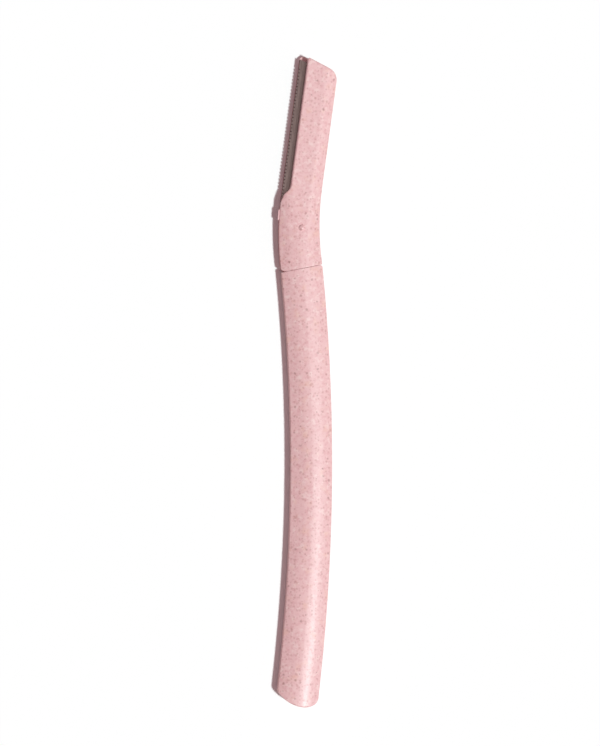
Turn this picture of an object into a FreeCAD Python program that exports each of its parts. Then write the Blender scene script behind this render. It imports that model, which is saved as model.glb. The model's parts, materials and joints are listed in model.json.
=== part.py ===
import FreeCAD, Part
import math
import os

# Eyebrow razor with its cap on, lying on its back. Millimetres and degrees.
# X runs across the razor, Y from the butt to the tip of the cap, Z from the back to the front.
# In plan the handle is a shallow bow, and the head leans back across it, so the seam between
# handle and cap sits at the bend. Plan points are worked out from the middle of that seam.

# Handle in plan
HANDLE_LENGTH = 100.7
HANDLE_WIDTH = 9.65
HANDLE_BOW_RADIUS = 450.0
BUTT_POINT = 3.3
BUTT_TIGHT_RADIUS = 4.4
BUTT_SIDE_RADIUS = 2.0
BUTT_BROAD_RADIUS = 8.2
BUTT_CORNER_RADIUS = 1.5

# Section shared by handle and cap
BODY_THICKNESS = 3.8
FRONT_CROWN_RADIUS = 9.0
FRONT_FLAT_WIDTH = 0.3
BACK_CROWN_RADIUS = 9.0
BACK_LAND_WIDTH = 3.0
FRONT_EDGE_RADIUS = 0.35
BACK_EDGE_RADIUS = 0.4

# Bend between the handle and the head
SEAM_LEAN = 5.7
SEAM_SLANT = 11.2
SEAM_GAP = 0.05
SEAM_EDGE_RADIUS = 0.08
SEAM_CORNER_RADIUS = 0.6
BEND_RADIUS = 86.0
BEND_ANGLE = 13.5

# Cap in plan, measured along and across the head axis from the detent
DETENT_BELOW_BEND = 10.9
AXIS_OFFSET = 0.9
CAP_LENGTH_ABOVE_DETENT = 37.8
CAP_TOP_SLANT = 19.0
CAP_TAPER = 0.5
CAP_TOP_CORNER_RADIUS = 2.8
CAP_TIP_RADIUS = 1.05
CAP_MOUTH_RIM_RADIUS = 1.1
CAP_MOUTH_SPINE_RADIUS = 0.4
SPINE_BEND_START = 9.2
RIM_BEND_START = 6.5

# Walls and window of the cap
CAP_BACK_WALL = 0.75
CAP_SPINE_WALL = 1.3
CAP_END_WALL = 0.75
CAP_FIT = 0.12
CAP_SLIT_FIT = 0.15
WINDOW_DEPTH = 1.75
WINDOW_STEP_TOP = 8.6
WINDOW_STEP_FOOT = 1.43
WINDOW_STEP_WIDTH = 1.2
WINDOW_FOOT_DROP = 2.17
WINDOW_STEP_RADIUS = 1.9
WINDOW_EDGE_RADIUS = 0.3
HEAD_THICKNESS = 3.5
HEAD_CROWN_RADIUS = 4.0
HEAD_RIM_SHOULDER = 0.425
HEAD_SPINE_SHOULDER = 3.075

# Small features of the cap
PIP_RADIUS = 0.75
PIP_HEIGHT = 0.45
GATE_LENGTH = 2.2
GATE_RADIUS = 0.22
GATE_ROOT_RADIUS = 0.05
GATE_ABOVE_DETENT = 3.3
GATE_PROUD = 0.25
GATE_LIFT = 0.08

# Tang that carries the blade
TANG_SETBACK = 1.4
TANG_THICKNESS = 1.6
TANG_BED = 0.35
TANG_ROOT = 1.0
TANG_END_FIT = 0.15
KEEPER_START = 3.0
KEEPER_FIT = 0.05
KEEPER_RIB = 0.9
DIMPLE_DEPTH = 0.1
DIMPLE_RADIUS = 1.4
TANG_EDGE_RADIUS = 0.3

# Blade and its comb guard
BLADE_THICKNESS = 0.3
BLADE_EDGE_INSET = 0.2
BLADE_START = 4.0
BLADE_END_RIB = 0.25
BEVEL_WIDTH = 0.7
BEVEL_LAND = 0.04
GUARD_SHEET = 0.15
GUARD_LIP = 0.14
GUARD_FIT = 0.08
TOOTH_PITCH = 0.8
TOOTH_GAP = 0.25
TOOTH_DEPTH = 0.35
TOOTH_MARGIN = 0.8

# Pegs that rivet the keeper through the blade
PEG_RADIUS = 0.5
PEG_FIT = 0.08
PEG_COUNT = 3
PEG_FIRST = 8.0
PEG_LAST = 5.5

# Spare lengths that are trimmed off again, steps of the loft, and tolerances
TRIM = 3.0
HEAD_TRIM = 0.25
FAR = 80.0
BEND_STEPS = 6
BEND_TRIM_STEPS = 2
HEAD_STEPS = 8
TOUCH = 1e-3
FINE = 1e-5
LEVEL = 0.7

HALF_WIDTH = HANDLE_WIDTH / 2
CAP_WIDTH = HANDLE_WIDTH - CAP_TAPER
HALF_CAP = CAP_WIDTH / 2
HEAD_LEAN = BEND_ANGLE - SEAM_LEAN
PACK_THICKNESS = BLADE_THICKNESS + 2 * GUARD_SHEET
TANG_BACK = CAP_BACK_WALL + CAP_FIT
TANG_FRONT = TANG_BACK + TANG_THICKNESS
PACK_BACK = TANG_BACK + TANG_BED
PACK_FRONT = PACK_BACK + PACK_THICKNESS
SLIT_BACK = PACK_BACK - CAP_SLIT_FIT
SLIT_FRONT = PACK_FRONT + CAP_SLIT_FIT
RIM = -AXIS_OFFSET - HALF_CAP
SPINE = HALF_CAP - AXIS_OFFSET
WINDOW_EDGE = RIM + WINDOW_DEPTH
TANG_LEFT = WINDOW_EDGE + TANG_SETBACK
TANG_RIGHT = SPINE - CAP_SPINE_WALL - CAP_FIT
GUARD_BACK = TANG_RIGHT - KEEPER_RIB - KEEPER_FIT
BLADE_BACK = GUARD_BACK - GUARD_SHEET - GUARD_FIT
BLADE_EDGE = RIM + BLADE_EDGE_INSET
PEG_ACROSS = (TANG_LEFT + BLADE_BACK) / 2


def vector(x, y, z=0.0):
    return FreeCAD.Vector(x, y, z)


def polar(angle):
    """Unit vector in the plan at an angle from X."""
    return vector(math.cos(math.radians(angle)), math.sin(math.radians(angle)))


UP = vector(0, 0, 1)
BOW_CENTRE = polar(SEAM_LEAN) * -HANDLE_BOW_RADIUS
BEND_CENTRE = polar(SEAM_LEAN) * BEND_RADIUS
HEAD_RIGHT = polar(-HEAD_LEAN)
HEAD_UP = polar(90 - HEAD_LEAN)
BEND_END = BEND_CENTRE - HEAD_RIGHT * BEND_RADIUS
DETENT = BEND_END - HEAD_UP * DETENT_BELOW_BEND + HEAD_RIGHT * AXIS_OFFSET
SEAM_RIGHT = polar(SEAM_SLANT)
SEAM_UP = polar(90 + SEAM_SLANT)


def head(along, across, height=0.0):
    """Point given along and across the head axis from the detent."""
    return DETENT + HEAD_UP * along + HEAD_RIGHT * across + UP * height


def line(start, end):
    return Part.LineSegment(start, end).toShape()


def arc(centre, radius, start, end):
    """Arc in the plan between two angles."""
    stops = [start, (start + end) / 2, end]
    points = [centre + polar(angle) * radius for angle in stops]
    return Part.Arc(points[0], points[1], points[2]).toShape()


def corner(before, point, after, radius):
    """Start, crest and end of the arc that rounds a corner between two straight runs."""
    back = (before - point).normalize()
    ahead = (after - point).normalize()
    half = back.getAngle(ahead) / 2
    reach = radius / math.tan(half)
    crest = (back + ahead).normalize() * (radius / math.sin(half) - radius)
    return point + back * reach, point + crest, point + ahead * reach


def rounded(corners):
    """Closed wire through corners given as (point, radius)."""
    points = [point for point, radius in corners]
    stops = []
    for index, (point, radius) in enumerate(corners):
        after = points[(index + 1) % len(points)]
        stops.append(corner(points[index - 1], point, after, radius))
    edges = []
    for index, (start, crest, end) in enumerate(stops):
        if corners[index][1]:
            edges.append(Part.Arc(start, crest, end).toShape())
        edges.append(line(end, stops[(index + 1) % len(stops)][0]))
    return Part.Wire(edges)


def prism(wire, low, high):
    """Upright solid over a plan outline, between two heights."""
    face = Part.Face(wire)
    face.translate(UP * low)
    return face.extrude(UP * (high - low))


def block(corners, low, high):
    return prism(rounded([(point, 0) for point in corners]), low, high)


def head_block(along, across, low, high):
    """Box aligned with the head, from pairs of limits along and across it."""
    left = [head(reach, across[0]) for reach in along]
    right = [head(reach, across[1]) for reach in along[::-1]]
    return block(left + right, low, high)


def sagitta(radius, across):
    """Fall of a crowned surface at a distance from where its curve begins."""
    return radius - math.sqrt(radius ** 2 - across ** 2)


def mix(first, second, share):
    return first + (second - first) * share


def section(middle, right, share):
    """Outline of the crowned section, a little wider than the body, flat at the back and the crest.

    The share runs from 0, the grip's section, to 1, the flatter section of the head.
    """
    half = mix(HALF_WIDTH + BACK_EDGE_RADIUS, HALF_CAP + HEAD_TRIM, share)
    land = BACK_LAND_WIDTH / 2
    crest = mix(BODY_THICKNESS, HEAD_THICKNESS, share)
    rim_flat = mix(FRONT_FLAT_WIDTH / 2, HALF_CAP - WINDOW_DEPTH - HEAD_RIM_SHOULDER, share)
    spine_flat = mix(FRONT_FLAT_WIDTH / 2, HALF_CAP - HEAD_SPINE_SHOULDER, share)
    crown = mix(FRONT_CROWN_RADIUS, HEAD_CROWN_RADIUS, share)

    def front(across):
        flat = spine_flat if across > 0 else rim_flat
        return across, crest - sagitta(crown, abs(across) - flat)

    def back(across):
        return across, sagitta(BACK_CROWN_RADIUS, abs(across) - land)

    def at(place):
        return middle + right * place[0] + UP * place[1]

    rim_middle = -(half + rim_flat) / 2
    spine_middle = (half + spine_flat) / 2
    low = (half + land) / 2
    edges = [
        Part.Arc(at(front(-half)), at(front(rim_middle)), at((-rim_flat, crest))).toShape(),
        line(at((-rim_flat, crest)), at((spine_flat, crest))),
        Part.Arc(at((spine_flat, crest)), at(front(spine_middle)), at(front(half))).toShape(),
        line(at(front(half)), at(back(half))),
        Part.Arc(at(back(half)), at(back(low)), at((land, 0))).toShape(),
        line(at((land, 0)), at((-land, 0))),
        Part.Arc(at((-land, 0)), at(back(-low)), at(back(-half))).toShape(),
        line(at(back(-half)), at(front(-half))),
    ]
    return Part.Wire(edges)


def rim_edges(shape, outline, front):
    """Edges where the outline's walls meet the front or the back surface."""
    back_rim = sagitta(BACK_CROWN_RADIUS, HALF_WIDTH - BACK_LAND_WIDTH / 2)
    front_rim = HEAD_THICKNESS - sagitta(HEAD_CROWN_RADIUS, HEAD_SPINE_SHOULDER)
    found = []
    for edge in shape.Edges:
        middle = edge.valueAt((edge.FirstParameter + edge.LastParameter) / 2)
        level = abs(edge.tangentAt((edge.FirstParameter + edge.LastParameter) / 2).z) < LEVEL
        side = (middle.z > (back_rim + front_rim) / 2) == front
        floor = abs(middle.z - SLIT_BACK) < TOUCH
        foot = Part.Vertex(vector(middle.x, middle.y))
        if level and side and not floor and foot.distToShape(outline)[0] < TOUCH:
            found.append(edge)
    return found


def plane_edges(shape, normal, offset):
    """Edges that lie in a plane given by its normal and its distance from the seam's middle."""
    found = []
    for edge in shape.Edges:
        stops = [edge.valueAt((edge.FirstParameter + edge.LastParameter) / 2)]
        stops += [vertex.Point for vertex in edge.Vertexes]
        if all(abs(stop.dot(normal) - offset) < TOUCH for stop in stops):
            found.append(edge)
    return found


def seam_block(side, offset):
    """Everything on one side of the seam plane, moved along the seam's normal."""
    base = SEAM_UP * offset
    reach = SEAM_UP * (side * FAR)
    width = SEAM_RIGHT * FAR
    return block([base - width, base + width, base + width + reach, base - width + reach], -FAR, FAR)


def seam_end(side):
    """Point where one side of the handle meets the seam."""
    along = SEAM_RIGHT.dot(BOW_CENTRE)
    radius = HANDLE_BOW_RADIUS + side * HALF_WIDTH
    return SEAM_RIGHT * (along + math.sqrt(along ** 2 - HANDLE_BOW_RADIUS ** 2 + radius ** 2))


def corner_waste(side, direction, offset, radius):
    """What is cut away to round the corner between the seam and a side that leaves it in a direction."""
    point = seam_end(side) + direction * (offset / direction.dot(SEAM_UP))
    start, crest, end = corner(point - SEAM_RIGHT * side, point, point + direction, radius)
    outside = point + (point - crest).normalize() * TRIM
    edges = [line(start, outside), line(outside, end), Part.Arc(end, crest, start).toShape()]
    return prism(Part.Wire(edges), -TRIM, BODY_THICKNESS + TRIM)


def butt():
    """Tail length, angle where the tail starts, and the plan edges of the rounded butt.

    A tighter and a broader arc meet at the butt's end, off the middle, and each has a corner arc.
    """
    side_step = BUTT_POINT - BUTT_SIDE_RADIUS
    side_rise = math.sqrt((BUTT_TIGHT_RADIUS - BUTT_SIDE_RADIUS) ** 2 - side_step ** 2)
    corner_step = HANDLE_WIDTH - BUTT_POINT - BUTT_CORNER_RADIUS
    corner_rise = math.sqrt((BUTT_BROAD_RADIUS - BUTT_CORNER_RADIUS) ** 2 - corner_step ** 2)
    tail = max(BUTT_TIGHT_RADIUS - side_rise, BUTT_BROAD_RADIUS - corner_rise) + TRIM
    start = SEAM_LEAN - math.degrees((HANDLE_LENGTH - tail) / HANDLE_BOW_RADIUS)
    right = polar(start)
    out = polar(start - 90)
    middle = BOW_CENTRE + right * HANDLE_BOW_RADIUS

    def at(along, across):
        return middle + out * along + right * across

    apex = HALF_WIDTH - BUTT_POINT
    side_along = tail - BUTT_TIGHT_RADIUS + side_rise
    side_end = start - 90 + math.degrees(math.atan2(side_step, side_rise))
    corner_along = tail - BUTT_BROAD_RADIUS + corner_rise
    corner_end = start - 90 - math.degrees(math.atan2(corner_step, corner_rise))
    edges = [
        line(at(0, HALF_WIDTH), at(side_along, HALF_WIDTH)),
        arc(at(side_along, apex + side_step), BUTT_SIDE_RADIUS, start, side_end),
        arc(at(tail - BUTT_TIGHT_RADIUS, apex), BUTT_TIGHT_RADIUS, side_end, start - 90),
        arc(at(tail - BUTT_BROAD_RADIUS, apex), BUTT_BROAD_RADIUS, start - 90, corner_end),
        arc(at(corner_along, apex - corner_step), BUTT_CORNER_RADIUS, corner_end, start - 180),
        line(at(corner_along, -HALF_WIDTH), at(0, -HALF_WIDTH)),
    ]
    return tail, start, edges


def handle_body():
    """Bowed grip with crowned faces, cut at the seam."""
    tail, start, butt_edges = butt()
    top = SEAM_LEAN + math.degrees(TRIM / HANDLE_BOW_RADIUS)
    right_side = arc(BOW_CENTRE, HANDLE_BOW_RADIUS + HALF_WIDTH, top, start)
    left_side = arc(BOW_CENTRE, HANDLE_BOW_RADIUS - HALF_WIDTH, start, top)
    outline = [right_side] + butt_edges + [left_side]
    closing = line(left_side.lastVertex().Point, right_side.firstVertex().Point)
    profile = Part.Face(section(BOW_CENTRE + polar(start) * HANDLE_BOW_RADIUS, polar(start), 0))
    grip = profile.revolve(BOW_CENTRE, UP, top - start)
    end = profile.extrude(polar(start - 90) * (tail + TRIM))
    body = prism(Part.Wire(outline + [closing]), -TRIM, BODY_THICKNESS + TRIM).common(grip.fuse(end))
    body = body.Solids[0]
    rim = Part.Wire(outline)
    body = body.makeFillet(BACK_EDGE_RADIUS, rim_edges(body, rim, False))
    body = body.makeFillet(FRONT_EDGE_RADIUS, rim_edges(body, rim, True))
    body = body.cut(seam_block(1, 0)).Solids[0]
    body = body.makeFillet(SEAM_EDGE_RADIUS, plane_edges(body, SEAM_UP, 0))
    for side in (-1, 1):
        radial = seam_end(side) - BOW_CENTRE
        down = vector(radial.y, -radial.x).normalize()
        body = body.cut(corner_waste(side, down, 0, SEAM_CORNER_RADIUS)).Solids[0]
    body.fix(FINE, FINE, TOUCH)
    return body.Solids[0]


def top_line(inset, across):
    """Height along the head of the slanted top, moved inwards by an inset."""
    slant = math.radians(CAP_TOP_SLANT)
    return CAP_LENGTH_ABOVE_DETENT - across * math.tan(slant) - inset / math.cos(slant)


def head_bar(low, left, right, inset, back, front):
    """Flat bar along the head with its upper end cut to the slant of the cap's top."""
    corners = [head(low, left), head(low, right)]
    corners += [head(top_line(inset, across), across) for across in (right, left)]
    return block(corners, back, front)


def collar_arc(across, start, side):
    """Arc that leaves a straight side of the cap and runs on to the handle's side at the seam."""
    tangent = head(start, across)
    span = seam_end(side) - tangent
    radius = span.dot(span) / (2 * span.dot(HEAD_RIGHT))
    begin = 180 - HEAD_LEAN
    turn = math.degrees(math.asin(-span.dot(HEAD_UP) / radius))
    return tangent + HEAD_RIGHT * radius, radius, begin, begin + turn


def tip_radius():
    """Radius at the cap's tip, limited so that its arc ends before the window's edge."""
    slant = math.radians(CAP_TOP_SLANT)
    room = (WINDOW_DEPTH - WINDOW_EDGE_RADIUS) / math.cos(slant)
    return min(CAP_TIP_RADIUS, room * math.tan((math.pi / 2 - slant) / 2))


def cap_outline():
    """Plan edges of the cap from below the seam on the left, over the tip and down the spine."""
    left_centre, left_radius, left_begin, left_end = collar_arc(RIM, RIM_BEND_START, -1)
    right_centre, right_radius, right_begin, right_end = collar_arc(SPINE, SPINE_BEND_START, 1)
    left_end += math.degrees(TRIM / left_radius)
    right_end += math.degrees(TRIM / right_radius)
    tip = head(top_line(0, RIM), RIM)
    shoulder = head(top_line(0, SPINE), SPINE)
    rim_foot = head(RIM_BEND_START, RIM)
    spine_foot = head(SPINE_BEND_START, SPINE)
    tip_stops = corner(rim_foot, tip, shoulder, tip_radius())
    shoulder_stops = corner(tip, shoulder, spine_foot, CAP_TOP_CORNER_RADIUS)
    return [
        arc(left_centre, left_radius, left_end, left_begin),
        line(rim_foot, tip_stops[0]),
        Part.Arc(tip_stops[0], tip_stops[1], tip_stops[2]).toShape(),
        line(tip_stops[2], shoulder_stops[0]),
        Part.Arc(shoulder_stops[0], shoulder_stops[1], shoulder_stops[2]).toShape(),
        line(shoulder_stops[2], spine_foot),
        arc(right_centre, right_radius, right_begin, right_end),
    ]


def window_outline():
    """Plan of the space cut out of the front wall beside the blade, with a stepped lower end."""
    step = WINDOW_EDGE - WINDOW_STEP_WIDTH
    foot = WINDOW_STEP_TOP - WINDOW_STEP_FOOT
    slope = WINDOW_FOOT_DROP / (WINDOW_STEP_WIDTH / 2)
    corners = [
        (head(FAR, WINDOW_EDGE), 0),
        (head(WINDOW_STEP_TOP, WINDOW_EDGE), WINDOW_STEP_RADIUS),
        (head(foot, step), WINDOW_STEP_RADIUS),
        (head(foot - slope * (step - RIM + TRIM), RIM - TRIM), 0),
        (head(FAR, RIM - TRIM), 0),
    ]
    return rounded(corners)


def ease(share):
    """Smooth step from 0 to 1."""
    inside = min(max(share, 0), 1)
    return inside ** 2 * (3 - 2 * inside)


def cap_form():
    """Loft from the grip's section below the seam, round the bend, to the head's section."""
    wires = []
    for step in range(-BEND_TRIM_STEPS, BEND_STEPS + 1):
        share = step / BEND_STEPS
        angle = 180 + SEAM_LEAN - BEND_ANGLE * share
        wires.append(section(BEND_CENTRE + polar(angle) * BEND_RADIUS, polar(angle + 180), ease(share)))
    for step in range(1, HEAD_STEPS + 1):
        reach = HEAD_UP * (FAR * step / HEAD_STEPS)
        wires.append(section(BEND_END + reach, HEAD_RIGHT, 1))
    return Part.makeLoft(wires, True, False)


def mouth_waste():
    """What is cut away to round the cap's two corners at the seam."""
    rim_end = collar_arc(RIM, RIM_BEND_START, -1)[-1]
    spine_end = collar_arc(SPINE, SPINE_BEND_START, 1)[-1]
    rim_waste = corner_waste(-1, polar(rim_end - 90), SEAM_GAP, CAP_MOUTH_RIM_RADIUS)
    spine_waste = corner_waste(1, polar(spine_end - 90), SEAM_GAP, CAP_MOUTH_SPINE_RADIUS)
    return Part.makeCompound([rim_waste, spine_waste])


def cap_body():
    """Outer form of the cap: crowned collar, flat head, window and rounded edges."""
    outline = cap_outline()
    closing = line(outline[-1].lastVertex().Point, outline[0].firstVertex().Point)
    body = prism(Part.Wire(outline + [closing]), -TRIM, BODY_THICKNESS + TRIM).common(cap_form())
    body = body.Solids[0]
    rim = Part.Wire(outline)
    body = body.makeFillet(BACK_EDGE_RADIUS, rim_edges(body, rim, False))
    opening = window_outline()
    body = body.cut(prism(opening, SLIT_BACK, BODY_THICKNESS + TRIM)).Solids[0]
    body = body.makeFillet(FRONT_EDGE_RADIUS, rim_edges(body, rim, True))
    body = body.makeFillet(WINDOW_EDGE_RADIUS, rim_edges(body, opening, True))
    body = body.cut(seam_block(-1, SEAM_GAP)).Solids[0]
    body = body.makeFillet(SEAM_EDGE_RADIUS, plane_edges(body, SEAM_UP, SEAM_GAP))
    return body.cut(mouth_waste()).Solids[0]


def dome(centre, radius, height):
    """Ball whose top stands a given height above a level circle of a given radius."""
    ball = (radius ** 2 + height ** 2) / (2 * height)
    return Part.makeSphere(ball, centre + UP * (height - ball))


def gate_nub():
    """Tapered stub left on the cap's side where its gate was broken off, with a blunt upper end."""
    middle = RIM - GATE_PROUD + GATE_RADIUS
    root = GATE_ABOVE_DETENT - GATE_LENGTH
    end = GATE_ABOVE_DETENT + GATE_RADIUS
    corners = [
        head(root, middle + GATE_RADIUS),
        head(root, middle - GATE_ROOT_RADIUS),
        head(GATE_ABOVE_DETENT, middle - GATE_RADIUS),
        head(end, middle),
        head(end, middle + GATE_RADIUS),
    ]
    back = SLIT_FRONT + GATE_LIFT
    return block(corners, back, back + 2 * GATE_RADIUS)


def cap():
    """Slide-on cap, hollow for the tang and open along the blade's edge."""
    low = -FAR / 2
    hollow = head_bar(
        low, TANG_LEFT - CAP_FIT, TANG_RIGHT + CAP_FIT, CAP_END_WALL,
        TANG_BACK - CAP_FIT, TANG_FRONT + CAP_FIT,
    )
    slit = head_bar(low, RIM - TRIM, TANG_RIGHT, CAP_END_WALL, SLIT_BACK, SLIT_FRONT)
    share = 1 - math.degrees(DETENT_BELOW_BEND / BEND_RADIUS) / BEND_ANGLE
    crest = mix(BODY_THICKNESS, HEAD_THICKNESS, ease(share))
    pip = dome(head(0, 0, crest), PIP_RADIUS, PIP_HEIGHT)
    shell = cap_body().fuse(pip).fuse(gate_nub())
    return shell.cut(hollow).cut(slit)


def peg_points():
    """Foot points of the pegs, spaced evenly between the first and the last."""
    last = top_line(CAP_END_WALL + TANG_END_FIT, PEG_ACROSS) - PEG_LAST
    shares = [index / (PEG_COUNT - 1) for index in range(PEG_COUNT)]
    return [head(mix(PEG_FIRST, last, share), PEG_ACROSS) for share in shares]


def pegs(radius, back, front):
    return [Part.makeCylinder(radius, front - back, point + UP * back) for point in peg_points()]


def handle():
    """Grip and tang in one moulding. The tang is stepped down where the blade lies on it."""
    low = -FAR / 2
    inset = CAP_END_WALL + TANG_END_FIT
    tang = head_bar(low, TANG_LEFT, TANG_RIGHT, inset, TANG_BACK, TANG_FRONT)
    tang = tang.makeFillet(TANG_EDGE_RADIUS, plane_edges(tang, UP, TANG_BACK))
    tang = tang.cut(seam_block(-1, -TANG_ROOT))
    tang = tang.cut(head_bar(KEEPER_START, -CAP_WIDTH, CAP_WIDTH, -TRIM, PACK_BACK, TANG_FRONT + TRIM))
    for hole in pegs(PEG_RADIUS + PEG_FIT, TANG_BACK - TRIM, TANG_FRONT):
        tang = tang.cut(hole)
    ball = DIMPLE_RADIUS + TANG_FRONT - DIMPLE_DEPTH
    tang = tang.cut(Part.makeSphere(DIMPLE_RADIUS, head(0, 0, ball)))
    return handle_body().fuse(tang)


def blade_pack(wire):
    """Strip with a section drawn across the head, cut to the slant of the top, with peg holes."""
    inset = CAP_END_WALL + TANG_END_FIT + BLADE_END_RIB
    bar = Part.Face(wire).extrude(HEAD_UP * FAR)
    bar = bar.common(head_bar(BLADE_START, -CAP_WIDTH, CAP_WIDTH, inset, 0, BODY_THICKNESS))
    for hole in pegs(PEG_RADIUS + PEG_FIT, 0, BODY_THICKNESS):
        bar = bar.cut(hole)
    return bar


def across_wire(points):
    """Closed wire across the head from (across, height) pairs, at the lower end of the blade."""
    return Part.makePolygon([head(BLADE_START, a, z) for a, z in points + points[:1]])


def blade():
    """Steel strip ground to an edge from both faces."""
    middle = PACK_BACK + PACK_THICKNESS / 2
    half = BLADE_THICKNESS / 2
    land = BEVEL_LAND / 2
    points = [(BLADE_EDGE, land), (BLADE_EDGE + BEVEL_WIDTH, half), (BLADE_BACK, half)]
    points += [(across, -height) for across, height in points[::-1]]
    return blade_pack(across_wire([(across, middle + height) for across, height in points]))


def comb_guard():
    """Thin sheet folded over the blade's back, with comb teeth that reach past its edge."""
    lip = BLADE_EDGE - GUARD_LIP
    inner = GUARD_BACK - GUARD_SHEET
    low = PACK_BACK + GUARD_SHEET
    high = PACK_FRONT - GUARD_SHEET
    points = [(lip, PACK_BACK), (GUARD_BACK, PACK_BACK), (GUARD_BACK, PACK_FRONT), (lip, PACK_FRONT)]
    points += [(lip, high), (inner, high), (inner, low), (lip, low)]
    guard = blade_pack(across_wire(points))
    inset = CAP_END_WALL + TANG_END_FIT + BLADE_END_RIB
    first = BLADE_START + TOOTH_MARGIN
    last = top_line(inset, lip + TOOTH_DEPTH) - TOOTH_MARGIN
    gaps = []
    for index in range(int((last - first) / TOOTH_PITCH)):
        along = first + index * TOOTH_PITCH
        span = (along, along + TOOTH_GAP)
        gaps.append(head_block(span, (lip - TRIM, lip + TOOTH_DEPTH), 0, BODY_THICKNESS))
    return guard.cut(Part.makeCompound(gaps))


def blade_keeper():
    """Strip that closes the tang over the blade, with a rib behind it and pegs through it."""
    inset = CAP_END_WALL + TANG_END_FIT
    strip = head_bar(KEEPER_START + KEEPER_FIT, TANG_LEFT, TANG_RIGHT, inset, PACK_BACK, TANG_FRONT)
    bed = head_bar(
        BLADE_START - KEEPER_FIT, RIM, GUARD_BACK + KEEPER_FIT, inset + BLADE_END_RIB - KEEPER_FIT,
        PACK_BACK, PACK_FRONT,
    )
    strip = strip.makeFillet(TANG_EDGE_RADIUS, plane_edges(strip, UP, TANG_FRONT))
    strip = strip.cut(bed)
    for peg in pegs(PEG_RADIUS, TANG_BACK, TANG_FRONT):
        strip = strip.fuse(peg)
    return strip


def main():
    os.makedirs("parts", exist_ok=True)
    makers = [handle, blade, comb_guard, blade_keeper, cap]
    nodes = {maker.__name__: maker().removeSplitter() for maker in makers}
    box = Part.makeCompound(list(nodes.values())).optimalBoundingBox()
    shift = vector(-box.Center.x, -box.Center.y)
    for name, shape in nodes.items():
        shape.translate(shift)
        shape.exportStep("parts/" + name + ".step")
        print(name, len(shape.Solids), "solid", round(shape.Volume, 2), "mm3")
    print("seam middle", shift, "head axis", HEAD_UP)


main()
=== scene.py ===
import json
import math

import bpy
import numpy as np
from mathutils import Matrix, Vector


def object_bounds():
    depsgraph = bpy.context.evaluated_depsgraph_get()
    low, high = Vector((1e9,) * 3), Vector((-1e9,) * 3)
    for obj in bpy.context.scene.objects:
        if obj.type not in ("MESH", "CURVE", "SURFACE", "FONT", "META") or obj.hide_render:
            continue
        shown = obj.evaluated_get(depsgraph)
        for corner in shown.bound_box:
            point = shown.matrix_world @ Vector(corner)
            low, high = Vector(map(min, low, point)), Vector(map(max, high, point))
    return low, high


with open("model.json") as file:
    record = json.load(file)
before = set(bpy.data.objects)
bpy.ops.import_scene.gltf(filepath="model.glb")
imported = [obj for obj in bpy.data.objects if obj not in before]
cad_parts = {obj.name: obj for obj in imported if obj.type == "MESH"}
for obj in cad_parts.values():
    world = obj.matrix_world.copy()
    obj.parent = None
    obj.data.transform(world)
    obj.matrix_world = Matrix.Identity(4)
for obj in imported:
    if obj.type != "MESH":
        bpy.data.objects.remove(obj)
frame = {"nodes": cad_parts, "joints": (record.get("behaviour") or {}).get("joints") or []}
CAD_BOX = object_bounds()

bl_info = {
    "name": "Eyebrow razor finish",
    "version": (1, 0, 0),
    "blender": (4, 5, 0),
    "location": "3D View > Sidebar > Razor",
    "description": "Dresses the capped eyebrow razor in flecked plastic and steel on a stage",
    "category": "Material",
}

MM = 0.001
NODES = frame["nodes"]
WHITE = (1.0, 1.0, 1.0)

# The picture's height in pixels, its scale, and where its middle lies on the razor.
PICTURE_HEIGHT = 746
MM_PER_PIXEL = 0.2297
VIEW_MIDDLE = (-1.66 * MM, 1.97 * MM)
CLIP_RATIO = 100

# The floor's half side in metres, and the gap that keeps it off the part's back.
FLOOR_HALF = 3.0
FLOOR_DROP = 0.02 * MM

# Colour sockets of the Mix node, which share their names with its other kinds.
MIX_UNDER = 6
MIX_OVER = 7
MIX_RESULT = 2

# Ragged outline of the straw bits: size of the noise and how far it bends them, in millimetres.
NOISE_MEAN = 0.5
RAG_SIZE = 0.4
RAG_REACH = 0.35
RAG_DETAIL = 2.0

# Mottling: detail of its noise, and the step in millimetres that tells one layer from the next.
CLOUD_DETAIL = 3.0
CLOUD_ROUGHNESS = 0.6
CLOUD_STEP = Vector((4.9, 8.7, 2.3))

# Flecks: share of the radius that has the full colour, and the step between layers in millimetres.
FLECK_CORE = 0.2
FLECK_STEP = Vector((7.3, 3.1, 5.7))

# Orange peel of the moulded skin: size in millimetres, depth, and what it does to the sheen.
PEEL_SIZE = 0.5556
PEEL_DETAIL = 2.0
PEEL_STRENGTH = 0.25
PEEL_DEPTH = 0.03 * MM
PEEL_ROUGHNESS = 0.06
PLASTIC_IOR = 1.49

# Lines in the steel: length in widths, noise levels and the tones they give, depth and sheen.
LINE_LENGTH = 25
LINE_DETAIL = 3.0
LINE_LEVELS = (0.3, 0.7)
LINE_TONES = (0.78, 1.15)
LINE_STRENGTH = 0.3
LINE_DEPTH = 0.01 * MM
LINE_ROUGHNESS = 0.1


def linear(code):
    """Linear colour of an sRGB hex value: each channel goes through the sRGB curve backwards."""
    channels = np.array([int(code[i:i + 2], 16) for i in (0, 2, 4)]) / 255
    low = channels / 12.92
    high = ((channels + 0.055) / 1.055) ** 2.4
    return tuple(float(value) for value in np.where(channels <= 0.04045, low, high))


def rgba(colour):
    """Colour with full cover, as colour sockets take it."""
    return (*colour, 1.0)


def add(tree, kind, inputs=None, **settings):
    """Adds a node, sets its properties, and sets or links its inputs by name or number."""
    made = tree.nodes.new(kind)
    for name, value in settings.items():
        setattr(made, name, value)
    for key, value in (inputs or {}).items():
        if isinstance(value, bpy.types.NodeSocket):
            tree.links.new(value, made.inputs[key])
        else:
            made.inputs[key].default_value = value
    return made


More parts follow.
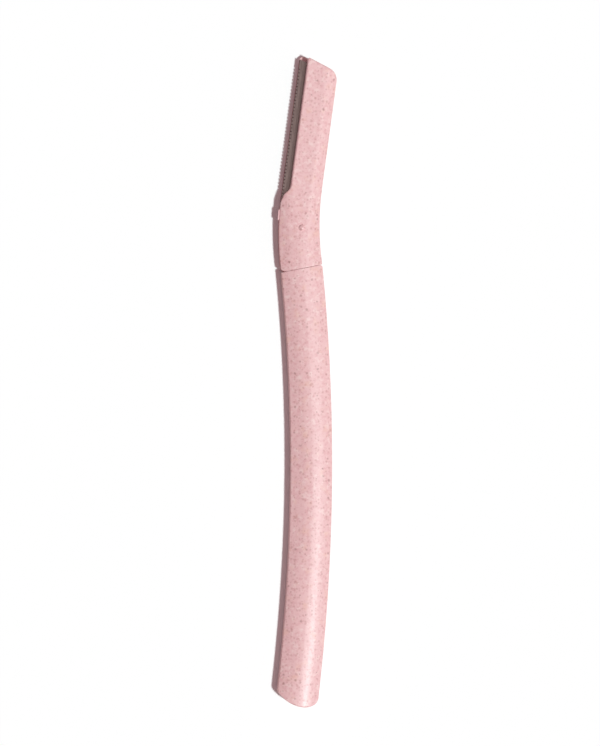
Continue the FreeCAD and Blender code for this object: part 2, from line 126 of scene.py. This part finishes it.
def tint(tree, share, under, tone):
    """Colour socket that mixes a tone over what lies under it, by a share."""
    under = under if isinstance(under, bpy.types.NodeSocket) else rgba(under)
    mixed = add(tree, "ShaderNodeMix", {
        "Factor": share, MIX_UNDER: under, MIX_OVER: rgba(tone)}, data_type="RGBA")
    return mixed.outputs[MIX_RESULT]


def fresh(name):
    """New node material with only its output and a Principled shader joined to it."""
    material = bpy.data.materials.new(name)
    material.use_nodes = True
    tree = material.node_tree
    tree.nodes.clear()
    shader = add(tree, "ShaderNodeBsdfPrincipled")
    add(tree, "ShaderNodeOutputMaterial", {"Surface": shader.outputs["BSDF"]})
    return material, tree, shader


def dress(node, material):
    """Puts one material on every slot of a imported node."""
    if node not in NODES:
        raise RuntimeError("the frame has no node named " + node)
    slots = NODES[node].data.materials
    if not slots:
        slots.append(material)
    for index in range(len(slots)):
        slots[index] = material


def even_skin(join, crease):
    """Node group that joins loose triangles at their corners and shades them smooth.

    Edges that turn by more than the crease angle stay sharp.
    """
    group = bpy.data.node_groups.new("even_skin", "GeometryNodeTree")
    group.interface.new_socket("Geometry", in_out="INPUT", socket_type="NodeSocketGeometry")
    group.interface.new_socket("Geometry", in_out="OUTPUT", socket_type="NodeSocketGeometry")
    loose = add(group, "NodeGroupInput")
    joined = add(group, "GeometryNodeMergeByDistance", {
        "Geometry": loose.outputs[0], "Distance": join})
    bare = add(group, "GeometryNodeRemoveAttribute", {
        "Geometry": joined.outputs[0], "Name": "custom_normal"})
    smooth = add(group, "GeometryNodeSetShadeSmooth", {
        "Geometry": bare.outputs[0], "Shade Smooth": True}, domain="FACE")
    turn = add(group, "GeometryNodeInputMeshEdgeAngle")
    sharp = add(group, "FunctionNodeCompare", {
        0: turn.outputs["Unsigned Angle"], 1: crease}, data_type="FLOAT", operation="GREATER_THAN")
    creased = add(group, "GeometryNodeSetShadeSmooth", {
        "Geometry": smooth.outputs[0], "Selection": sharp.outputs[0], "Shade Smooth": False},
        domain="EDGE")
    add(group, "NodeGroupOutput", {0: creased.outputs[0]})
    return group


def skin(node, group):
    """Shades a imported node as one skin, with normals that follow its larger faces."""
    NODES[node].modifiers.new("even_skin", "NODES").node_group = group
    weighted = NODES[node].modifiers.new("weighted_normals", "WEIGHTED_NORMAL")
    weighted.keep_sharp = True


class RazorPlastic(bpy.types.PropertyGroup):
    """Straw-filled plastic of the handle, the keeper and the cap."""

    base: bpy.props.FloatVectorProperty(
        name="Base", description="Colour of the plastic between its flecks",
        subtype="COLOR", size=3, min=0, max=1, default=linear("E7BBBC"))
    deep: bpy.props.FloatVectorProperty(
        name="Deep", description="Deeper tone of the cloudy mottling",
        subtype="COLOR", size=3, min=0, max=1, default=linear("DCA7AA"))
    pale: bpy.props.FloatVectorProperty(
        name="Pale", description="Paler tone of the cloudy mottling",
        subtype="COLOR", size=3, min=0, max=1, default=linear("F0D0CE"))
    tan: bpy.props.FloatVectorProperty(
        name="Straw", description="Colour of straw that lies under the skin",
        subtype="COLOR", size=3, min=0, max=1, default=linear("E6B59F"))
    rose: bpy.props.FloatVectorProperty(
        name="Fleck", description="Colour of the many faint flecks close to the surface",
        subtype="COLOR", size=3, min=0, max=1, default=linear("C08C8A"))
    brown: bpy.props.FloatVectorProperty(
        name="Dark fleck", description="Colour of the fewer flecks that reach the surface",
        subtype="COLOR", size=3, min=0, max=1, default=linear("94625F"))
    fleck_spacing: bpy.props.FloatProperty(
        name="Fleck spacing", description="Distance between neighbouring flecks",
        unit="LENGTH", default=1.0 * MM)
    roughness: bpy.props.FloatProperty(
        name="Roughness", description="Roughness of the moulded skin",
        subtype="FACTOR", min=0, max=1, default=0.38)
    join: bpy.props.FloatProperty(
        name="Join", description="Distance within which corners of the skin are one point",
        unit="LENGTH", default=0.001 * MM, precision=6)
    crease: bpy.props.FloatProperty(
        name="Crease", description="Angle above which an edge of the skin stays sharp",
        subtype="ANGLE", default=math.radians(32))


class RazorSteel(bpy.types.PropertyGroup):
    """Steel of the blade and of the comb guard, both in colours darkened to paint shade on the
    steel.
    """

    # Painted shade: the guard's colour is darkened and warmed towards pink to stand in for the shade
    # and the dark, pink-tinged reflections on the bare strip; rolled stainless steel itself is far
    # paler.
    guard: bpy.props.FloatVectorProperty(
        name="Guard", description="Colour of the rolled guard sheet",
        subtype="COLOR", size=3, min=0, max=1, default=linear("75625F"))
    guard_roughness: bpy.props.FloatProperty(
        name="Guard roughness", description="Roughness of the rolled guard sheet",
        subtype="FACTOR", min=0, max=1, default=0.26)
    # Painted shade: the blade's colour is darkened and warmed towards pink so its edge between the
    # comb teeth reads as dark as shade makes it; ground stainless steel itself is far paler.
    blade: bpy.props.FloatVectorProperty(
        name="Blade", description="Colour of the ground blade",
        subtype="COLOR", size=3, min=0, max=1, default=linear("5C4B4A"))
    blade_roughness: bpy.props.FloatProperty(
        name="Blade roughness", description="Roughness of the ground blade",
        subtype="FACTOR", min=0, max=1, default=0.3)
    grain: bpy.props.FloatProperty(
        name="Grain", description="Width of the rolling and grinding lines",
        unit="LENGTH", default=0.12 * MM)


class RazorStage(bpy.types.PropertyGroup):
    """Floor, light and camera."""

    floor: bpy.props.FloatVectorProperty(
        name="Floor", description="Colour of the floor",
        subtype="COLOR", size=3, min=0, max=1, default=linear("E7E4E2"))
    sky: bpy.props.FloatVectorProperty(
        name="Fill", description="Colour of the soft light from all round",
        subtype="COLOR", size=3, min=0, max=1, default=linear("FFD6DC"))
    fill: bpy.props.FloatProperty(
        name="Fill strength", description="Share of the light that comes from all round",
        subtype="FACTOR", min=0, max=1, default=0.3)
    key_height: bpy.props.FloatProperty(
        name="Key height", description="Height of the key lamp above the floor",
        subtype="ANGLE", default=math.radians(60))
    key_turn: bpy.props.FloatProperty(
        name="Key turn", description="Direction of the key lamp in plan, from the right",
        subtype="ANGLE", default=math.radians(-33))
    key_width: bpy.props.FloatProperty(
        name="Key width", description="Apparent width of the key lamp",
        subtype="ANGLE", default=math.radians(7))
    view_lean: bpy.props.FloatProperty(
        name="Camera lean", description="Angle of the camera to the left of straight above",
        subtype="ANGLE", default=math.radians(8))
    lens: bpy.props.FloatProperty(
        name="Lens", description="Focal length of the camera",
        unit="CAMERA", default=120)


def mottled(tree, metric, look):
    """Colour socket of the plastic between its flecks.

    Each row has a size in fleck spacings, the noise levels at which the tone starts and is full,
    its strength there, and the tone.
    """
    rows = (
        (0.7, 0.45, 0.70, 0.80, look.deep),
        (1.1, 0.50, 0.72, 0.75, look.pale),
        (2.6, 0.52, 0.80, 0.45, look.tan),
    )
    spacing = look.fleck_spacing / MM
    colour = look.base
    for index, (size, low, high, strength, tone) in enumerate(rows):
        shift = add(tree, "ShaderNodeVectorMath", {0: metric, 1: CLOUD_STEP * index})
        cloud = add(tree, "ShaderNodeTexNoise", {
            "Vector": shift.outputs["Vector"], "Scale": 1 / (size * spacing),
            "Detail": CLOUD_DETAIL, "Roughness": CLOUD_ROUGHNESS})
        share = add(tree, "ShaderNodeMapRange", {
            "Value": cloud.outputs["Fac"], "From Min": low, "From Max": high, "To Max": strength},
            interpolation_type="SMOOTHSTEP")
        colour = tint(tree, share.outputs["Result"], colour, tone)
    return colour


def flecked(tree, metric, look, colour):
    """Colour socket with straw flecks over a colour: soft spots round the seeds of bent cells.

    Each row has a pitch in fleck spacings, the largest radius in millimetres, the share of cells
    left empty, the strength, and the tone. A cell's own random number sets its fleck's radius.
    """
    rows = (
        (0.62, 0.44, 0.30, 0.50, look.rose),
        (0.90, 0.50, 0.35, 0.55, look.rose),
        (1.30, 0.48, 0.40, 0.55, look.brown),
    )
    # Straw bits are ragged, so the cells that place them are bent by a fine noise first.
    ragged = add(tree, "ShaderNodeTexNoise", {
        "Vector": metric, "Scale": 1 / RAG_SIZE, "Detail": RAG_DETAIL})
    offset = add(tree, "ShaderNodeVectorMath", {
        0: ragged.outputs["Color"], 1: (NOISE_MEAN,) * 3}, operation="SUBTRACT")
    bent = add(tree, "ShaderNodeVectorMath", {
        0: offset.outputs["Vector"], 1: (RAG_REACH,) * 3, 2: metric}, operation="MULTIPLY_ADD")
    spacing = look.fleck_spacing / MM
    for index, (step, radius, empty, strength, tone) in enumerate(rows):
        pitch = step * spacing
        shift = add(tree, "ShaderNodeVectorMath", {
            0: bent.outputs["Vector"], 1: FLECK_STEP * index})
        cells = add(tree, "ShaderNodeTexVoronoi", {
            "Vector": shift.outputs["Vector"], "Scale": 1 / pitch})
        chance = add(tree, "ShaderNodeSeparateColor", {"Color": cells.outputs["Color"]})
        reach = add(tree, "ShaderNodeMapRange", {
            "Value": chance.outputs["Red"], "From Min": empty, "To Max": radius / pitch})
        core = add(tree, "ShaderNodeMath", {
            0: reach.outputs["Result"], 1: FLECK_CORE}, operation="MULTIPLY")
        fleck = add(tree, "ShaderNodeMapRange", {
            "Value": cells.outputs["Distance"], "From Min": reach.outputs["Result"],
            "From Max": core.outputs["Value"], "To Max": strength},
            interpolation_type="SMOOTHSTEP")
        colour = tint(tree, fleck.outputs["Result"], colour, tone)
    return colour


def straw_plastic(look):
    """Injection-moulded polypropylene filled with ground straw.

    The filler shows as small flecks, most of them faint because the skin covers them, and a cloudy
    mottling between them. The skin is satin, with a slight orange peel that breaks the highlight up.
    """
    material, tree, shader = fresh("straw_filled_polypropylene_moulded")
    place = add(tree, "ShaderNodeTexCoord")
    scaled = add(tree, "ShaderNodeMapping", {
        "Vector": place.outputs["Object"], "Scale": (1 / MM,) * 3})
    metric = scaled.outputs["Vector"]
    colour = flecked(tree, metric, look, mottled(tree, metric, look))
    peel = add(tree, "ShaderNodeTexNoise", {
        "Vector": metric, "Scale": 1 / PEEL_SIZE, "Detail": PEEL_DETAIL})
    bump = add(tree, "ShaderNodeBump", {
        "Height": peel.outputs["Fac"], "Strength": PEEL_STRENGTH, "Distance": PEEL_DEPTH})
    sheen = add(tree, "ShaderNodeMapRange", {
        "Value": peel.outputs["Fac"], "To Min": look.roughness - PEEL_ROUGHNESS,
        "To Max": look.roughness + PEEL_ROUGHNESS})
    tree.links.new(colour, shader.inputs["Base Color"])
    tree.links.new(sheen.outputs["Result"], shader.inputs["Roughness"])
    tree.links.new(bump.outputs["Normal"], shader.inputs["Normal"])
    shader.inputs["IOR"].default_value = PLASTIC_IOR
    return material


def lined_steel(name, tone, grain, roughness, head_axis):
    """Stainless steel with fine lines along the blade, as rolling or grinding leaves them.

    The lines give it a streaked, half-dull shine. Its tone comes in darkened, to paint the shade and
    the dark reflections on the steel.
    """
    material, tree, shader = fresh(name)
    place = add(tree, "ShaderNodeTexCoord")
    turn = math.atan2(head_axis.x, head_axis.y)
    lines = add(tree, "ShaderNodeMapping", {
        "Vector": place.outputs["Object"], "Rotation": (0, 0, turn),
        "Scale": (1 / grain, 1 / (LINE_LENGTH * grain), 1 / grain)})
    streak = add(tree, "ShaderNodeTexNoise", {
        "Vector": lines.outputs["Vector"], "Scale": 1.0, "Detail": LINE_DETAIL})
    spread = add(tree, "ShaderNodeMapRange", {
        "Value": streak.outputs["Fac"], "From Min": LINE_LEVELS[0], "From Max": LINE_LEVELS[1],
        "To Min": LINE_TONES[0], "To Max": LINE_TONES[1]})
    colour = add(tree, "ShaderNodeMix", {
        "Factor": 1.0, MIX_UNDER: rgba(tone), MIX_OVER: spread.outputs["Result"]},
        data_type="RGBA", blend_type="MULTIPLY")
    rough = add(tree, "ShaderNodeMapRange", {
        "Value": streak.outputs["Fac"], "To Min": roughness - LINE_ROUGHNESS,
        "To Max": roughness + LINE_ROUGHNESS})
    bump = add(tree, "ShaderNodeBump", {
        "Height": streak.outputs["Fac"], "Strength": LINE_STRENGTH, "Distance": LINE_DEPTH})
    tree.links.new(colour.outputs[MIX_RESULT], shader.inputs["Base Color"])
    tree.links.new(rough.outputs["Result"], shader.inputs["Roughness"])
    tree.links.new(bump.outputs["Normal"], shader.inputs["Normal"])
    shader.inputs["Metallic"].default_value = 1.0
    return material


class RAZOR_OT_mould_plastic(bpy.types.Operator):
    """Give the handle, the blade keeper and the cap their flecked plastic"""

    bl_idname = "razor.mould_plastic"
    bl_label = "Mould the plastic"

    def execute(self, context):
        look = context.scene.razor_plastic
        material = straw_plastic(look)
        group = even_skin(look.join, look.crease)
        for node in ("handle", "blade_keeper", "cap"):
            dress(node, material)
            skin(node, group)
        return {"FINISHED"}


class RAZOR_OT_grind_steel(bpy.types.Operator):
    """Give the blade and its comb guard their steel"""

    bl_idname = "razor.grind_steel"
    bl_label = "Grind the steel"

    def execute(self, context):
        look = context.scene.razor_steel
        axis = Vector(frame["joints"][0]["axis"])
        # Both steel tones are darkened to paint the shade and the dark reflections on the steel.
        dress("comb_guard", lined_steel(
            "stainless_sheet_rolled_painted_shade", look.guard, look.grain, look.guard_roughness, axis))
        dress("blade", lined_steel(
            "stainless_strip_ground_painted_shade", look.blade, look.grain, look.blade_roughness, axis))
        return {"FINISHED"}


def seen_share(tree):
    """1 on rays from the camera, from mirrors and through glass, and 0 on all others."""
    path = add(tree, "ShaderNodeLightPath")
    seen = add(tree, "ShaderNodeMath", {
        0: path.outputs["Is Camera Ray"], 1: path.outputs["Is Glossy Ray"]}, operation="MAXIMUM")
    seen = add(tree, "ShaderNodeMath", {
        0: seen.outputs["Value"], 1: path.outputs["Is Transmission Ray"]}, operation="MAXIMUM")
    return seen.outputs["Value"]


class RAZOR_OT_set_stage(bpy.types.Operator):
    """Lay the floor and set the light and the camera"""

    bl_idname = "razor.set_stage"
    bl_label = "Set the stage"

    def execute(self, context):
        look = context.scene.razor_stage
        self.lay_floor(context, look)
        self.hang_key(context, look)
        self.fill_round(context, look)
        self.place_camera(context, look)
        context.scene.view_settings.view_transform = "Standard"
        return {"FINISHED"}

    def lay_floor(self, context, look):
        """Square sheet of matt white paper just under the part's lowest point.

        It is pure white to the camera where it is lit, and a little less to all other rays.
        """
        level = CAD_BOX[0].z - FLOOR_DROP
        mesh = bpy.data.meshes.new("floor")
        corners = np.array([(-1, -1), (1, -1), (1, 1), (-1, 1)]) * FLOOR_HALF
        points = np.column_stack([corners, np.full(len(corners), level)])
        mesh.from_pydata(points.tolist(), [], [(0, 1, 2, 3)])
        floor = bpy.data.objects.new("floor", mesh)
        context.scene.collection.objects.link(floor)
        material, tree, shader = fresh("paper_matt_white")
        path = add(tree, "ShaderNodeLightPath")
        tone = tint(tree, path.outputs["Is Camera Ray"], look.floor, WHITE)
        tree.links.new(tone, shader.inputs["Base Color"])
        shader.inputs["Roughness"].default_value = 1.0
        shader.inputs["Specular IOR Level"].default_value = 0.0
        mesh.materials.append(material)

    def hang_key(self, context, look):
        """Key lamp from the lower right.

        With the fill it adds up to a neutral 1 on a level surface, so it makes up what that lacks.
        """
        lamp = bpy.data.lights.new("key", "SUN")
        share = 1 - look.fill * np.array(look.sky)
        lamp.color = share / share.max()
        lamp.energy = math.pi * share.max() / math.sin(look.key_height)
        lamp.angle = look.key_width
        key = bpy.data.objects.new("key", lamp)
        flat = math.cos(look.key_height)
        towards = Vector((flat * math.cos(look.key_turn), flat * math.sin(look.key_turn),
                          math.sin(look.key_height)))
        key.rotation_mode = "QUATERNION"
        key.rotation_quaternion = towards.to_track_quat("Z", "Y")
        context.scene.collection.objects.link(key)

    def fill_round(self, context, look):
        """Even light from all round, which the camera, mirrors and glass see as plain white."""
        world = bpy.data.worlds.new("studio")
        world.use_nodes = True
        tree = world.node_tree
        tree.nodes.clear()
        seen = seen_share(tree)
        strength = add(tree, "ShaderNodeMapRange", {
            "Value": seen, "To Min": look.fill, "To Max": 1.0})
        glow = add(tree, "ShaderNodeBackground", {
            "Color": tint(tree, seen, look.sky, WHITE), "Strength": strength.outputs["Result"]})
        add(tree, "ShaderNodeOutputWorld", {"Surface": glow.outputs["Background"]})
        context.scene.world = world

    def place_camera(self, context, look):
        """Above the part and a little to its left, where the picture's height fills the sensor."""
        data = bpy.data.cameras.new("camera")
        data.lens = look.lens
        height = PICTURE_HEIGHT * MM_PER_PIXEL * MM
        distance = height * look.lens / data.sensor_width
        camera = bpy.data.objects.new("camera", data)
        middle = Vector((*VIEW_MIDDLE, (CAD_BOX[0].z + CAD_BOX[1].z) / 2))
        away = Vector((-math.sin(look.view_lean), 0, math.cos(look.view_lean)))
        camera.location = middle + away * distance
        camera.rotation_euler = (0, -look.view_lean, 0)
        data.clip_start = distance / CLIP_RATIO
        data.clip_end = distance * CLIP_RATIO
        context.scene.collection.objects.link(camera)
        context.scene.camera = camera


class RAZOR_PT_finish(bpy.types.Panel):
    """Sidebar panel with the razor's finishing steps"""

    bl_idname = "RAZOR_PT_finish"
    bl_label = "Razor finish"
    bl_space_type = "VIEW_3D"
    bl_region_type = "UI"
    bl_category = "Razor"

    def draw(self, context):
        for operator in OPERATORS:
            self.layout.operator(operator.bl_idname)


GROUPS = {"razor_plastic": RazorPlastic, "razor_steel": RazorSteel, "razor_stage": RazorStage}
OPERATORS = (RAZOR_OT_mould_plastic, RAZOR_OT_grind_steel, RAZOR_OT_set_stage)
CLASSES = (*GROUPS.values(), *OPERATORS, RAZOR_PT_finish)


def register():
    for made in CLASSES:
        bpy.utils.register_class(made)
    for name, group in GROUPS.items():
        setattr(bpy.types.Scene, name, bpy.props.PointerProperty(type=group))


def unregister():
    for name in GROUPS:
        delattr(bpy.types.Scene, name)
    for made in reversed(CLASSES):
        bpy.utils.unregister_class(made)


def main():
    register()
    bpy.ops.razor.mould_plastic()
    bpy.ops.razor.grind_steel()
    bpy.ops.razor.set_stage()


if __name__ == "__main__":
    main()
